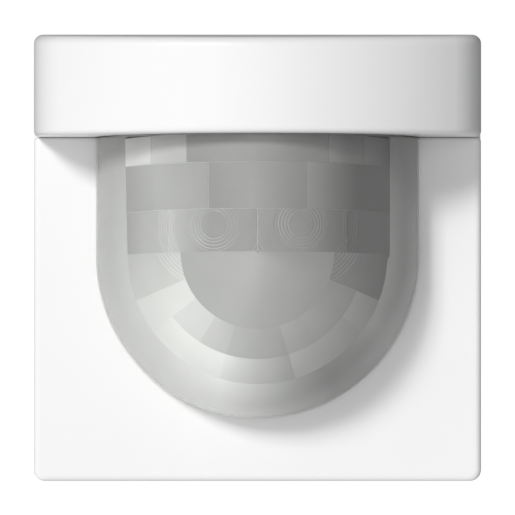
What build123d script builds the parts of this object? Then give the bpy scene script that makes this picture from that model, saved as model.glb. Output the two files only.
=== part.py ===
from build123d import *
import os
from math import cos, radians, sin

# A passive infrared motion sensor: the top unit that plugs on a flush-mounted wall insert.
# Millimetres. The origin is the centre of the rear seating plane, +Z is up and the front
# looks along -Y. Heights are Z, widths are X, and every depth below is the distance in
# front of the seating plane, so a depth d lies at Y = -d and a negative one is in the wall.

# ---- driving dimensions ----
SIDE = 55.0  # square front
CORNER = 1.4  # corner radius of the square
FACE = 11.0  # depth of the plate's front face
FACE_WALL = 1.8  # wall of the plate and of its rim
EDGE = 0.75  # rounding of the plate's front edge
TOP_EDGE = 0.45  # and of the edge under the hood
BASE = 9.2  # depth of the step that the hood sits on
BASE_WALL = 1.5
CAVITY_CORNER = 0.8
PLATE_TOP = 14.75  # top edge of the plate, just under the hood

LENS_R = 19.8  # outer radius of the lens, cylinder and sphere alike
LENS_WALL = 1.5
LENS_TOP = 14.55
LENS_GAP = 0.02  # between the lens and its opening
FLANGE_LIP = 1.8
FLANGE = 1.2
RETAINER_WALL = 1.4
SMALL_SCREW = (1.5, 0.9, 0.8)  # head radius, head height and shank radius
SMALL_BORE_R = 0.85  # hole that a small screw cuts its thread in
SMALL_HOLE_R = 0.95  # and hole that it passes through
RETAINER_R = 23.9  # from the lens axis to each of the retainer's screws

HOOD_FLOOR = 14.8  # height of the hood's underside at the rear
HOOD_NOSE_FLOOR = 14.6  # and at the nose
HOOD_FRONT = 32.0  # depth of the hood's nose
HOOD_CHEEK = 20.3  # depth of the hood's front corners
HOOD_CHEEK_X = 26.2  # half width at the front corners, a little less than at the rear
HOOD_HALF = 27.42  # half width and height at the rear
HOOD_SHOULDER = 10.5  # depth at which the sides start to draw in
HOOD_NOSE_TOP = 25.75  # height of the top face at the nose
HOOD_BROW_R = 20.0  # rounding across the top face at the shoulder
HOOD_WALL = 1.6
HOOD_SEAT_GAP = 0.1
HOOD_CHEEK_R = 10.0  # rounding of the front corners
HOOD_TOP_R = 1.1
HOOD_FLOOR_R = 0.7
TOP_TONGUE = (12.0, 2.5)  # middle and half width of a tongue at the hood's top
LOW_TONGUE = (22.5, 1.8)  # and at its floor
TONGUE_TIP = 3.6  # depth that the top tongues reach back to
TONGUE_HALF = 0.5  # half thickness of a tongue
TONGUE_GAP = 0.15

DECK = 10.5  # depth of the control deck under the hood
DECK_Z = 20.9
DECK_WIDTH = 50.0
DECK_HEIGHT = 8.8
DECK_WALL = 1.3
DECK_FACE_WALL = 1.5
DECK_CORNER = 1.0
DECK_EDGE = 0.3

BOARD_FRONT = 4.2
BOARD_WALL = 1.6
BOARD_SIDE = 49.2
LEAD_END = 1.8  # depth at which the soldered leads end, behind the board

SENSOR_ANGLE = 45.0  # each sensor looks this far to its side
SENSOR_X = 7.2
SENSOR_DEPTH = 9.8
SENSOR_Z = 1.0
HOLDER_HEIGHT = 12.0
HOLDER_WALL = 1.4
HOLDER_NOSE_X = 2.2  # half width of the holder's blunt nose
HOLDER_SCREW_X = 14.8
HOLDER_FOOT = 6.4  # depth of the front of the holder's screw feet
HOLDER_OPENING_R = 3.2  # opening in the holder behind each sensor

CAN_R = 4.1
CAN_HEIGHT = 4.3
CAN_WALL = 0.3
CAN_RIM = (0.5, 0.45)  # overhang and height of the rim at the can's foot
WINDOW = (4.6, 3.5)
WINDOW_WALL = 0.5
WINDOW_MARGIN = 0.4  # glued border of the window all round
HEADER_WALL = 0.8
CARRIER = 2.0  # height of the element's carrier above the holder's face
CARRIER_WALL = 0.5
LEAD_R = 0.22
LEAD_CIRCLE = 2.2
LEAD_BEND = -2.6  # where the leads bend, behind the holder's face

LED_Z = -10.0
LED_R = 1.5
LED_HEIGHT = 5.3
LED_LEAD_X = 1.27
LED_LEAD_R = 0.25
LIGHT_SENSOR_X = -9.0
LIGHT_SENSOR_HEIGHT = 4.6
SLEEVE_R = 2.7
SLEEVE_BORE_R = 2.0
SLEEVE_FRONT = 10.6

CONTROL_PITCH = 9.6
DIAL_R = 3.0
DIAL_GAP = 0.1
SPINDLE_R = 1.3
SPINDLE_GAP = 0.05
SLIDER_TRAVEL = 2.0
DIAL_RISE = 0.7  # how far the dials stand out of the deck
SLIDER_RISE = 1.7  # and the slider
TRIMMER_FRONT = 8.2
TRIMMER_SIDE = 3.1  # half width of a trimmer
TRIMMER_HEIGHT = 2.9  # and its half height
TRIMMER_PINS = [(-2.5, -2.2), (2.5, -2.2), (0.0, 2.2)]
PIN_R = 0.3  # the round pins of trimmers, switch and capacitor
SWITCH_FRONT = 7.6
SWITCH_FLOOR = 6.0  # depth of the bottom of the switch's slot
SWITCH_PINS = [-2.5, 0.0, 2.5]

SCREW_X = 21.3
SCREW_Z = 20.9
BOSS_R = 2.3  # the cover's bosses for the housing screws
BOSS_BORE_R = 1.1
SCREW_HOLE_R = 1.3  # hole in board and housing for each of them
SCREW = (2.0, 0.9, 1.05)  # head radius, head height and shank radius
SCREW_TIP = 8.2
SCREW_SLOT = 0.5
SCREW_CHAMFER = 0.25
TUB_R = 23.0
TUB_WALL = 1.5
TUB_BACK = -8.5
HOUSING_FLANGE = 1.6
SPRING_X = 24.4
SPRING_WALL = 0.4
SPRING_WIDTH = 8.0

PLUG_Z = 10.5
PLUG_WIDTH = 28.0
PLUG_HEIGHT = 9.0
PLUG_GAP = 0.25  # round the plug in the housing's floor
PLUG_BACK = -11.0
PIN_END = -17.0
PIN_PITCH = 5.08
PIN_SIDE = 0.9

CAPACITOR_Z = -15.5
CAPACITOR_R = 4.0
CAPACITOR_LENGTH = 12.0
CAPACITOR_LEAD_X = -8.0
CHIP_HEIGHT = 1.4
CHIP_STANDOFF = 0.1
CHIP_PIN_LENGTH = 0.9
CONTROLLER = (12.4, -8.4, 7.0, 7.0)  # x, z, width, height
AMPLIFIER = (-14.0, -8.6, 5.0, 4.0)
CRYSTAL_Z = -6.6
SMD_PITCH = 3.2

# ---- dimensions that follow from them ----
HALF = SIDE / 2
FACE_INNER = FACE - FACE_WALL
FLANGE_BACK = FACE_INNER - FLANGE
BASE_INNER = BASE - BASE_WALL
CAVITY = HALF - FACE_WALL
CAVITY_TOP = PLATE_TOP - BASE_WALL
HOOD_BACK = BASE + HOOD_SEAT_GAP
HOOD_INNER_TOP = HOOD_HALF - HOOD_WALL
DECK_INNER = DECK - DECK_FACE_WALL
BOARD_BACK = BOARD_FRONT - BOARD_WALL
TUB_INNER_R = TUB_R - TUB_WALL
FLANGE_REAR = BOARD_BACK - HOUSING_FLANGE
RETAINER_BACK = FLANGE_BACK - RETAINER_WALL
SCREW_PLACES = [(x, z) for x in (-SCREW_X, SCREW_X) for z in (-SCREW_Z, SCREW_Z)]
RETAINER_PLACES = [(x * RETAINER_R, 8.5) for x in (-1, 1)] + [
    (x * RETAINER_R * cos(radians(45)), -RETAINER_R * sin(radians(45))) for x in (-1, 1)
]
LAMP_LEADS = [(x + dx, LED_Z) for x in (0.0, LIGHT_SENSOR_X) for dx in (-LED_LEAD_X, LED_LEAD_X)]
CAPACITOR_DEPTH = BOARD_BACK - CAPACITOR_R - 0.2
CAPACITOR_LEADS = [CAPACITOR_Z - 1.8, CAPACITOR_Z + 1.8]
PLUG_PINS = [
    ((column - 2) * PIN_PITCH, PLUG_Z + row * PIN_PITCH / 2) for column in range(5) for row in (-1, 1)
]
DIAL_X = {
    "brightness": -1.5 * CONTROL_PITCH,
    "delay": -0.5 * CONTROL_PITCH,
    "range": 0.5 * CONTROL_PITCH,
}
SWITCH_X = 1.5 * CONTROL_PITCH
SIDES = {"left": -1, "right": 1}


# ---- shapes used throughout ----
def block(x0, x1, depth0, depth1, z0, z1):
    """A box between two widths, two depths and two heights."""
    centre = Pos((x0 + x1) / 2, -(depth0 + depth1) / 2, (z0 + z1) / 2)
    return centre * Box(x1 - x0, depth1 - depth0, z1 - z0)


def slab(outline, depth0, depth1):
    """A front-view outline, given depth from depth0 forward to depth1."""
    return extrude(Plane.XZ.offset(depth0) * outline, depth1 - depth0)


def rod(radius, x, z, depth0, depth1):
    """A round bar that points straight out of the wall."""
    return slab(Pos(x, z) * Circle(radius), depth0, depth1)


def group(solids):
    """Separate solids of one kind in one node."""
    return Compound(children=list(solids))


def arch(radius, top):
    """A U: straight sides up to the height top, and half a circle below."""
    sides = Polyline((-radius, 0), (-radius, top), (radius, top), (radius, 0))
    bottom = ThreePointArc((-radius, 0), (0, -radius), (radius, 0))
    return make_face(sides.edges() + bottom.edges())


def screw(x, z, seat, tip, head_r, head_height, shank_r):
    """A screw driven in from the rear: its head's underside is at the depth seat."""
    rear = seat - head_height
    head = rod(head_r, x, z, rear, seat)
    head = chamfer(head.edges().group_by(Axis.Y)[-1], SCREW_CHAMFER)
    slot_floor = rear + 0.4 * head_height
    slot = block(x - head_r, x + head_r, rear, slot_floor, z - SCREW_SLOT / 2, z + SCREW_SLOT / 2)
    return head + rod(shank_r, x, z, seat, tip) - slot


# ---- shell: cover, hood, lens ----
def front_cover():
    """Plate, rim and control deck in one moulding, open at the rear."""
    square = RectangleRounded(SIDE, SIDE, CORNER)
    plate = slab(square, 0, FACE) - block(-HALF, HALF, 0, FACE, PLATE_TOP, HALF)
    front_edges = plate.faces().sort_by(Axis.Y)[0].edges()
    plate = fillet(front_edges.sort_by(Axis.Z)[:-1], EDGE)
    top_edges = plate.faces().sort_by(Axis.Z)[-1].edges()
    front_half = [e for e in top_edges if e.center().Y < -0.5 * FACE]
    plate = fillet([e for e in front_half if abs(e.center().X) < HALF - 0.01], TOP_EDGE)
    deck = slab(Pos(0, DECK_Z) * RectangleRounded(DECK_WIDTH, DECK_HEIGHT, DECK_CORNER), 0, DECK)
    deck = fillet(deck.faces().sort_by(Axis.Y)[0].edges(), DECK_EDGE)
    cover = plate + slab(square, 0, BASE) + deck

    cover -= slab(RectangleRounded(2 * CAVITY, 2 * CAVITY, CAVITY_CORNER), 0, BASE_INNER)
    cover -= block(-CAVITY, CAVITY, 0, FACE_INNER, -CAVITY, CAVITY_TOP)
    deck_x = DECK_WIDTH / 2 - DECK_WALL
    deck_z = DECK_HEIGHT / 2 - DECK_WALL
    cover -= block(-deck_x, deck_x, 0, DECK_INNER, DECK_Z - deck_z, DECK_Z + deck_z)
    cover -= slab(arch(LENS_R + LENS_GAP, HOOD_FLOOR), 0, FACE)

    for x, z in SCREW_PLACES:
        front = DECK_INNER if z > 0 else FACE_INNER
        cover += rod(BOSS_R, x, z, BOARD_FRONT, front)
        cover -= rod(BOSS_BORE_R, x, z, BOARD_FRONT, front - 0.6)
    for x, z in RETAINER_PLACES:
        cover += rod(2 * SMALL_BORE_R, x, z, FLANGE_BACK, FACE_INNER)
        cover -= rod(SMALL_BORE_R, x, z, FLANGE_BACK, FACE_INNER + 1.0)

    for x in DIAL_X.values():
        cover -= rod(DIAL_R + DIAL_GAP, x, DECK_Z, DECK_INNER, DECK)
    reach = SLIDER_TRAVEL + 1.4
    cover -= block(SWITCH_X - reach, SWITCH_X + reach, DECK_INNER, DECK, DECK_Z - 0.9, DECK_Z + 0.9)
    for tongue in hood_tongues(TONGUE_GAP):
        cover -= tongue
    return cover


def hood_form(inset):
    """The hood's outer form, or with an inset of one wall the hollow inside it."""
    half = HOOD_HALF - inset
    cheek_x = HOOD_CHEEK_X - inset
    cheek = HOOD_CHEEK - inset
    nose = HOOD_FRONT - inset
    floor = HOOD_FLOOR + inset
    shoulders = [(half, -HOOD_SHOULDER), (-half, -HOOD_SHOULDER)]
    rear = Polyline(shoulders[0], (half, -HOOD_BACK), (-half, -HOOD_BACK), shoulders[1])
    right = TangentArc(shoulders[0], (cheek_x, -cheek), tangent=(0, -1))
    left = TangentArc(shoulders[1], (-cheek_x, -cheek), tangent=(0, -1))
    front = ThreePointArc((-cheek_x, -cheek), (0, -nose), (cheek_x, -cheek))
    plan = make_face([*rear.edges(), *right.edges(), *left.edges(), *front.edges()])
    tall = extrude(plan, HALF)
    corners = [
        (-HOOD_BACK, floor),
        (-HOOD_BACK, half),
        (-HOOD_SHOULDER, half),
        (-nose, HOOD_NOSE_TOP - inset),
        (-nose, HOOD_NOSE_FLOOR + inset),
    ]
    side_view = make_face(Polyline(*corners, corners[0]).edges())
    brow = side_view.vertices().sort_by_distance((-HOOD_SHOULDER, half, 0))[0]
    side_view = fillet(brow, HOOD_BROW_R)
    return tall & extrude(Plane.YZ.offset(-half) * side_view, 2 * half)


def hood_tongues(gap):
    """Four locating tongues behind the hood, or with a gap the slots that take them."""
    tip = BASE_INNER + 0.1
    top_z = HOOD_INNER_TOP
    low_z = HOOD_FLOOR + 0.8
    tongues = []
    for side in SIDES.values():
        for (middle, half), z, rear, front in (
            (TOP_TONGUE, top_z, TONGUE_TIP, HOOD_BACK + 1.0),
            (LOW_TONGUE, low_z, tip, HOOD_BACK + 0.1),
        ):
            x = side * middle
            reach = half + gap
            thick = TONGUE_HALF + gap
            tongues.append(block(x - reach, x + reach, rear - gap, front, z - thick, z + thick))
    return tongues


def along_x(edge):
    """Whether an edge is a straight line from side to side."""
    return edge.geom_type == GeomType.LINE and abs(edge.tangent_at(0.5).X) > 0.99


def hood():
    """The pull-off hood: a curved cap, open at the rear."""
    shell = hood_form(0)
    cheeks = shell.edges().filter_by(Axis.Z).group_by(Axis.Y)[0]
    shell = fillet(cheeks, HOOD_CHEEK_R)
    top = [e for e in shell.edges() if e.center().Z > HOOD_NOSE_TOP - 1.0 and not along_x(e)]
    shell = fillet([e for e in top if e.center().Y < -HOOD_BACK - 0.01], HOOD_TOP_R)
    floor = [e for e in shell.edges() if e.center().Z < HOOD_FLOOR + 0.2 and not along_x(e)]
    shell = fillet(floor, HOOD_FLOOR_R)
    shell -= hood_form(HOOD_WALL)
    for tongue in hood_tongues(0):
        shell += tongue
    return shell


def dome(radius, top, back):
    """Half a cylinder over a quarter sphere, with a straight skirt back to a depth."""
    centre = Pos(0, -FACE, 0)
    cylinder = extrude(Plane.XY * Circle(radius), top)
    bowl = Sphere(radius, arc_size1=-90, arc_size2=0, align=(Align.CENTER, Align.CENTER, Align.MAX))
    round_form = centre * (cylinder + bowl)
    front_half = block(-radius, radius, FACE, FACE + radius, -radius, top)
    return (round_form & front_half) + slab(arch(radius, top), back, FACE)


def lens():
    """The lens shell, with a flange behind the plate."""
    outer = dome(LENS_R, LENS_TOP, FLANGE_BACK)
    flange = slab(arch(LENS_R + FLANGE_LIP, CAVITY_TOP - 0.1), FLANGE_BACK, FACE_INNER)
    return outer + flange - dome(LENS_R - LENS_WALL, LENS_TOP - LENS_WALL, FLANGE_BACK)


def lens_retainer():
    """A U-shaped plate that clamps the lens flange to the cover."""
    outer = arch(CAVITY - 0.5, CAVITY_TOP - 0.3)
    inner = arch(LENS_R - LENS_WALL + 0.2, LENS_TOP)
    plate = slab(outer - inner, RETAINER_BACK, FLANGE_BACK)
    for x, z in RETAINER_PLACES:
        plate -= rod(SMALL_HOLE_R, x, z, RETAINER_BACK, FLANGE_BACK)
    return plate


def retainer_screws():
    """Four small screws that hold the retainer."""
    return group(
        screw(x, z, RETAINER_BACK, FACE_INNER + 0.8, *SMALL_SCREW) for x, z in RETAINER_PLACES
    )


# ---- sensors ----
def sensor_plane(side):
    """The face of the holder that one sensor sits on, with its normal outward."""
    angle = radians(SENSOR_ANGLE)
    normal = (side * sin(angle), -cos(angle), 0)
    return Plane(origin=(side * SENSOR_X, -SENSOR_DEPTH, SENSOR_Z), x_dir=(0, 0, 1), z_dir=normal)


def holder_plan(wall):
    """The holder from above: two faces at right angles to each other, cut by the board."""
    foot_x = SENSOR_X + SENSOR_DEPTH - BOARD_FRONT - 1.28 * wall
    nose = SENSOR_DEPTH + SENSOR_X - HOLDER_NOSE_X - 1.12 * wall
    outline = Polyline(
        (-foot_x, -BOARD_FRONT),
        (-HOLDER_NOSE_X, -nose),
        (HOLDER_NOSE_X, -nose),
        (foot_x, -BOARD_FRONT),
        (-foot_x, -BOARD_FRONT),
    )
    return make_face(outline.edges())


def sensor_holder():
    """A hollow wedge on the board that turns each sensor to its side."""
    low = SENSOR_Z - HOLDER_HEIGHT / 2
    high = SENSOR_Z + HOLDER_HEIGHT / 2
    wedge = extrude(Plane.XY.offset(low) * holder_plan(0), HOLDER_HEIGHT)
    hollow = Plane.XY.offset(low + HOLDER_WALL) * holder_plan(HOLDER_WALL)
    holder = wedge - extrude(hollow, high - low - 2 * HOLDER_WALL)
    for side in SIDES.values():
        middle = side * HOLDER_SCREW_X
        foot = block(middle - 2.8, middle + 2.8, BOARD_FRONT, HOLDER_FOOT, SENSOR_Z - 3.0, SENSOR_Z + 3.0)
        holder += foot
        holder -= rod(SMALL_BORE_R, middle, SENSOR_Z, BOARD_FRONT, HOLDER_FOOT - 0.3)
        opening = Pos(0, 0, -HOLDER_WALL) * extrude(Circle(HOLDER_OPENING_R), 3.0)
        holder -= sensor_plane(side) * opening
    return holder


def holder_screws():
    """Two screws from behind the board into the holder's feet."""
    return group(
        screw(side * HOLDER_SCREW_X, SENSOR_Z, BOARD_BACK, HOLDER_FOOT - 0.5, *SMALL_SCREW)
        for side in SIDES.values()
    )


def pir_can(side):
    """A metal can with a rim at its foot and a rectangular opening in its top."""
    can = extrude(Circle(CAN_R), CAN_HEIGHT)
    can = fillet(can.edges().group_by(Axis.Z)[-1], 0.4)
    can += extrude(Circle(CAN_R + CAN_RIM[0]), CAN_RIM[1])
    can -= extrude(Circle(CAN_R - CAN_WALL), CAN_HEIGHT - CAN_WALL)
    can -= extrude(Rectangle(*WINDOW), CAN_HEIGHT)
    return sensor_plane(side) * can


def pir_window(side):
    """The dark infrared filter, glued inside the can's opening."""
    top = CAN_HEIGHT - CAN_WALL
    pane = extrude(Rectangle(WINDOW[0] + 2 * WINDOW_MARGIN, WINDOW[1] + 2 * WINDOW_MARGIN), WINDOW_WALL)
    return sensor_plane(side) * Pos(0, 0, top - WINDOW_WALL) * pane


def pir_base(side):
    """The header that closes the can's foot."""
    base = extrude(Circle(CAN_R - CAN_WALL), HEADER_WALL)
    for x, y in lead_places():
        base -= Pos(x, y) * extrude(Circle(LEAD_R), HEADER_WALL)
    return sensor_plane(side) * base


def pir_element(side):
    """Two pyroelectric strips on a ceramic carrier."""
    carrier = Pos(0, 0, CARRIER) * extrude(Rectangle(4.4, 3.0), CARRIER_WALL)
    strip = Pos(0, 0, CARRIER + CARRIER_WALL) * extrude(Rectangle(1.0, 2.2), 0.15)
    post = Pos(0, 0, HEADER_WALL) * extrude(Circle(0.4), CARRIER - HEADER_WALL)
    element = carrier
    for turn in (-1, 1):
        element += Pos(turn * 1.0, 0, 0) * strip
        element += Pos(turn * 1.6, 0, 0) * post
    return sensor_plane(side) * element


def lead_places():
    """Three leads on a circle round the header's centre."""
    angles = [radians(a) for a in (90, 210, 330)]
    return [(LEAD_CIRCLE * cos(a), LEAD_CIRCLE * sin(a)) for a in angles]


def pir_lead(side, x, y):
    """A wire straight out of the header, bent towards the board."""
    plane = sensor_plane(side)
    start = plane.from_local_coords(Vector(x, y, HEADER_WALL))
    bend = plane.from_local_coords(Vector(x, y, LEAD_BEND))
    end = Vector(bend.X, -LEAD_END, bend.Z)
    route = FilletPolyline(start, bend, end, radius=0.7)
    section = Plane(origin=start, z_dir=bend - start) * Circle(LEAD_R)
    return sweep(section, path=route)


def pir_leads(side):
    """The three wires of one sensor."""
    return group(pir_lead(side, x, y) for x, y in lead_places())


def board_lead_holes():
    """Where the sensors' wires pass through the board."""
    holes = []
    for side in SIDES.values():
        for x, y in lead_places():
            bend = sensor_plane(side).from_local_coords(Vector(x, y, LEAD_BEND))
            holes.append((bend.X, bend.Z))
    return holes


def lamp(x, height):
    """A 3 mm round-topped component with a rim at its foot."""
    centre = BOARD_FRONT + height - LED_R
    body = rod(LED_R, x, LED_Z, BOARD_FRONT, centre)
    top = Pos(x, -centre, LED_Z) * Sphere(LED_R)
    rim = rod(LED_R + 0.4, x, LED_Z, BOARD_FRONT, BOARD_FRONT + 1.0)
    return body + top + rim


def status_led():
    """The walk-test lamp, which shines through the lens."""
    return lamp(0.0, LED_HEIGHT)


def light_sensor():
    """The twilight sensor."""
    return lamp(LIGHT_SENSOR_X, LIGHT_SENSOR_HEIGHT)


def light_sensor_sleeve():
    """A short tube that shades the twilight sensor from the lamp."""
    outer = rod(SLEEVE_R, LIGHT_SENSOR_X, LED_Z, BOARD_FRONT, SLEEVE_FRONT)
    return outer - rod(SLEEVE_BORE_R, LIGHT_SENSOR_X, LED_Z, BOARD_FRONT, SLEEVE_FRONT)


def led_leads():
    """The wires of the lamp and the twilight sensor."""
    return group(rod(LED_LEAD_R, x, z, LEAD_END, BOARD_FRONT) for x, z in LAMP_LEADS)


# ---- controls under the hood ----
def trimmer(x):
    """A trimmer's body, with the blind hole that its spindle turns in."""
    z0 = DECK_Z - TRIMMER_HEIGHT
    z1 = DECK_Z + TRIMMER_HEIGHT
    body = block(x - TRIMMER_SIDE, x + TRIMMER_SIDE, BOARD_FRONT, TRIMMER_FRONT, z0, z1)
    body = chamfer(body.edges().filter_by(Axis.Y), 0.5)
    return body - rod(SPINDLE_R + SPINDLE_GAP, x, DECK_Z, TRIMMER_FRONT - 1.9, TRIMMER_FRONT)


def trimmer_pins():
    """Three pins under each trimmer."""
    return group(
        rod(PIN_R, x + dx, DECK_Z + dz, LEAD_END, BOARD_FRONT)
        for x in DIAL_X.values()
        for dx, dz in TRIMMER_PINS
    )


def dial(x):
    """A screwdriver dial with a slot and a pointer notch, on its spindle."""
    front = DECK + DIAL_RISE
    disc = rod(DIAL_R, x, DECK_Z, TRIMMER_FRONT + 0.3, front)
    disc = chamfer(disc.faces().sort_by(Axis.Y)[0].edges(), 0.3)
    disc -= block(x - 0.4, x + 0.4, front - 1.0, front, DECK_Z - 2.0, DECK_Z + 2.0)
    pointer = Pos(x, DECK_Z + 2.35) * Triangle(a=0.9, b=0.9, c=0.9)
    disc -= slab(pointer, front - 0.4, front)
    return disc + rod(SPINDLE_R, x, DECK_Z, TRIMMER_FRONT - 1.7, TRIMMER_FRONT + 0.3)


def mode_switch_body():
    """The slide switch's case, with the slot its slider runs in."""
    reach = SLIDER_TRAVEL + 1.2
    side = reach + 1.0
    case = block(SWITCH_X - side, SWITCH_X + side, BOARD_FRONT, SWITCH_FRONT, DECK_Z - 1.8, DECK_Z + 1.8)
    slot = block(SWITCH_X - reach, SWITCH_X + reach, SWITCH_FLOOR, SWITCH_FRONT, DECK_Z - 0.8, DECK_Z + 0.8)
    return case - slot


def mode_slider():
    """The switch's slider, which stands out of the deck."""
    front = DECK + SLIDER_RISE
    z0 = DECK_Z - 0.65
    z1 = DECK_Z + 0.65
    stem = block(SWITCH_X - 1.1, SWITCH_X + 1.1, SWITCH_FLOOR + 0.1, front, z0, z1)
    for dx in (-0.5, 0.0, 0.5):
        x = SWITCH_X + dx
        stem -= block(x - 0.1, x + 0.1, front - 0.3, front, z0, z1)
    return stem


def mode_switch_pins():
    """The slide switch's three pins."""
    return group(rod(PIN_R, SWITCH_X + dx, DECK_Z, LEAD_END, BOARD_FRONT) for dx in SWITCH_PINS)


# ---- board and its parts ----
def main_board():
    """The circuit board, drilled for every lead and screw."""
    board = slab(RectangleRounded(BOARD_SIDE, BOARD_SIDE, 1.5), BOARD_BACK, BOARD_FRONT)
    drilled = [(x, z, SCREW_HOLE_R) for x, z in SCREW_PLACES]
    drilled += [(side * HOLDER_SCREW_X, SENSOR_Z, SMALL_HOLE_R) for side in SIDES.values()]
    drilled += [(x, z, LEAD_R) for x, z in board_lead_holes()]
    drilled += [(x, z, LED_LEAD_R) for x, z in LAMP_LEADS]
    drilled += [(x + dx, DECK_Z + dz, PIN_R) for x in DIAL_X.values() for dx, dz in TRIMMER_PINS]
    drilled += [(SWITCH_X + dx, DECK_Z, PIN_R) for dx in SWITCH_PINS]
    drilled += [(CAPACITOR_LEAD_X, z, PIN_R) for z in CAPACITOR_LEADS]
    for x, z, radius in drilled:
        board -= rod(radius, x, z, BOARD_BACK, BOARD_FRONT)
    return board - plug_pin_set()


def plug_pin_set():
    """The plug's pins, from in front of the board to behind the plug."""
    half = PIN_SIDE / 2
    tip = BOARD_FRONT + 0.6
    pins = [block(x - half, x + half, PIN_END, tip, z - half, z + half) for x, z in PLUG_PINS]
    return [chamfer(pin.faces().sort_by(Axis.Y)[-1].edges(), 0.25) for pin in pins]


def plug_body():
    """The plug's insulator, from the board out through the housing's floor."""
    half_x = PLUG_WIDTH / 2
    half_z = PLUG_HEIGHT / 2
    body = block(-half_x, half_x, PLUG_BACK, BOARD_BACK, PLUG_Z - half_z, PLUG_Z + half_z)
    body = chamfer(body.edges().filter_by(Axis.Y), 0.8)
    body = chamfer(body.faces().sort_by(Axis.Y)[-1].edges(), 0.4)
    return body - plug_pin_set()


def storage_capacitor():
    """An electrolytic capacitor lying on the board's rear."""
    lying = Pos(0, -CAPACITOR_DEPTH, CAPACITOR_Z) * Rot(0, 90, 0)
    can = lying * Cylinder(CAPACITOR_R, CAPACITOR_LENGTH)
    can = fillet(can.edges().filter_by(GeomType.CIRCLE), 0.5)
    groove = Pos(0, 0, -CAPACITOR_LENGTH / 2 + 1.6) * Torus(CAPACITOR_R + 0.15, 0.45)
    return can - lying * groove


def capacitor_leads():
    """Its two wires, bent down through the board."""
    leads = []
    for z in CAPACITOR_LEADS:
        start = (-CAPACITOR_LENGTH / 2, -CAPACITOR_DEPTH, z)
        bend = (CAPACITOR_LEAD_X, -CAPACITOR_DEPTH, z)
        end = (CAPACITOR_LEAD_X, -BOARD_FRONT - 0.5, z)
        route = FilletPolyline(start, bend, end, radius=0.8)
        leads.append(sweep(Plane(origin=start, z_dir=(-1, 0, 0)) * Circle(PIN_R), path=route))
    return group(leads)


def chip(x, z, width, height):
    """A flat chip on the board's rear, with a dimple at its first pin."""
    front = BOARD_BACK - CHIP_STANDOFF
    rear = front - CHIP_HEIGHT
    side = x - width / 2
    top = z + height / 2
    body = chamfer(block(side, side + width, rear, front, top - height, top).edges().filter_by(Axis.Y), 0.2)
    return body - rod(0.4, side + 0.9, top - 0.9, rear, rear + 0.15)


def chip_pin(x, z, turn):
    """One gull-wing pin: out of the chip's side, down, and along the board."""
    mid = BOARD_BACK - CHIP_STANDOFF - CHIP_HEIGHT / 2
    foot = BOARD_BACK - 0.1
    line = Polyline((0, -mid), (0.35, -mid), (0.35, -foot), (CHIP_PIN_LENGTH, -foot))
    strip = extrude(Plane.XY.offset(-0.15) * trace(line, 0.2), 0.3)
    return Pos(x, 0, z) * Rot(0, turn, 0) * strip


def chip_pins():
    """All pins of both chips."""
    pins = []
    x, z, width, height = CONTROLLER
    for step in range(8):
        along = (step - 3.5) * 0.8
        pins.append(chip_pin(x + width / 2, z + along, 0))
        pins.append(chip_pin(x - width / 2, z + along, 180))
        pins.append(chip_pin(x + along, z + height / 2, -90))
        pins.append(chip_pin(x + along, z - height / 2, 90))
    x, z, width, height = AMPLIFIER
    for step in range(4):
        along = (step - 1.5) * 1.27
        pins.append(chip_pin(x + along, z + height / 2, -90))
        pins.append(chip_pin(x + along, z - height / 2, 90))
    return group(pins)


def crystal():
    """The controller's clock crystal in its metal can."""
    case = slab(Pos(0, CRYSTAL_Z) * SlotOverall(11.0, 4.4), BOARD_BACK - 3.4, BOARD_BACK - 0.5)
    case = fillet(case.faces().sort_by(Axis.Y)[-1].edges(), 0.4)
    return case + slab(Pos(0, CRYSTAL_Z) * SlotOverall(11.6, 4.9), BOARD_BACK - 0.5, BOARD_BACK)


def smd_row(places, length, height, thick):
    """Small rectangular components soldered to the board's front."""
    top = BOARD_FRONT + thick
    half = length / 2
    return group(
        block(x - half, x + half, BOARD_FRONT, top, z - height / 2, z + height / 2) for x, z in places
    )


def smd_resistors():
    """Two rows of surface-mounted resistors."""
    places = [(x * SMD_PITCH, z) for x in range(-3, 4) for z in (-20.0, -22.4)]
    return smd_row(places, 2.0, 1.2, 0.5)


def smd_capacitors():
    """Surface-mounted capacitors above the resistors and beside the sensors."""
    places = [(x * SMD_PITCH, -17.4) for x in range(-2, 3)] + [(x, PLUG_Z) for x in (-9.0, -3.0, 3.0, 9.0)]
    return smd_row(places, 2.0, 1.25, 0.9)


# ---- rear ----
def rear_housing():
    """A square flange behind the board, with a round tub that enters the insert."""
    housing = slab(RectangleRounded(2 * CAVITY - 0.6, 2 * CAVITY - 0.6, 1.0), FLANGE_REAR, BOARD_BACK)
    housing += slab(Circle(TUB_R), TUB_BACK, BOARD_BACK)
    housing = fillet(housing.edges().group_by(Axis.Y)[-1], 1.0)
    housing -= slab(Circle(TUB_INNER_R), TUB_BACK + TUB_WALL, BOARD_BACK)
    half_x = PLUG_WIDTH / 2 + PLUG_GAP
    half_z = PLUG_HEIGHT / 2 + PLUG_GAP
    housing -= block(-half_x, half_x, TUB_BACK, TUB_BACK + TUB_WALL, PLUG_Z - half_z, PLUG_Z + half_z)
    for x, z in SCREW_PLACES:
        housing -= rod(SCREW_HOLE_R, x, z, FLANGE_REAR, BOARD_BACK)
    for side in SIDES.values():
        housing -= retaining_spring(side)
    room_x = 18.2
    room_z = TRIMMER_HEIGHT + 0.2
    room = block(-room_x, room_x, LEAD_END - 0.2, BOARD_BACK, DECK_Z - room_z, DECK_Z + room_z)
    return housing - room


def housing_screws():
    """Four screws from the rear through housing and board into the cover."""
    return group(screw(x, z, FLANGE_REAR, SCREW_TIP, *SCREW) for x, z in SCREW_PLACES)


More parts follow.
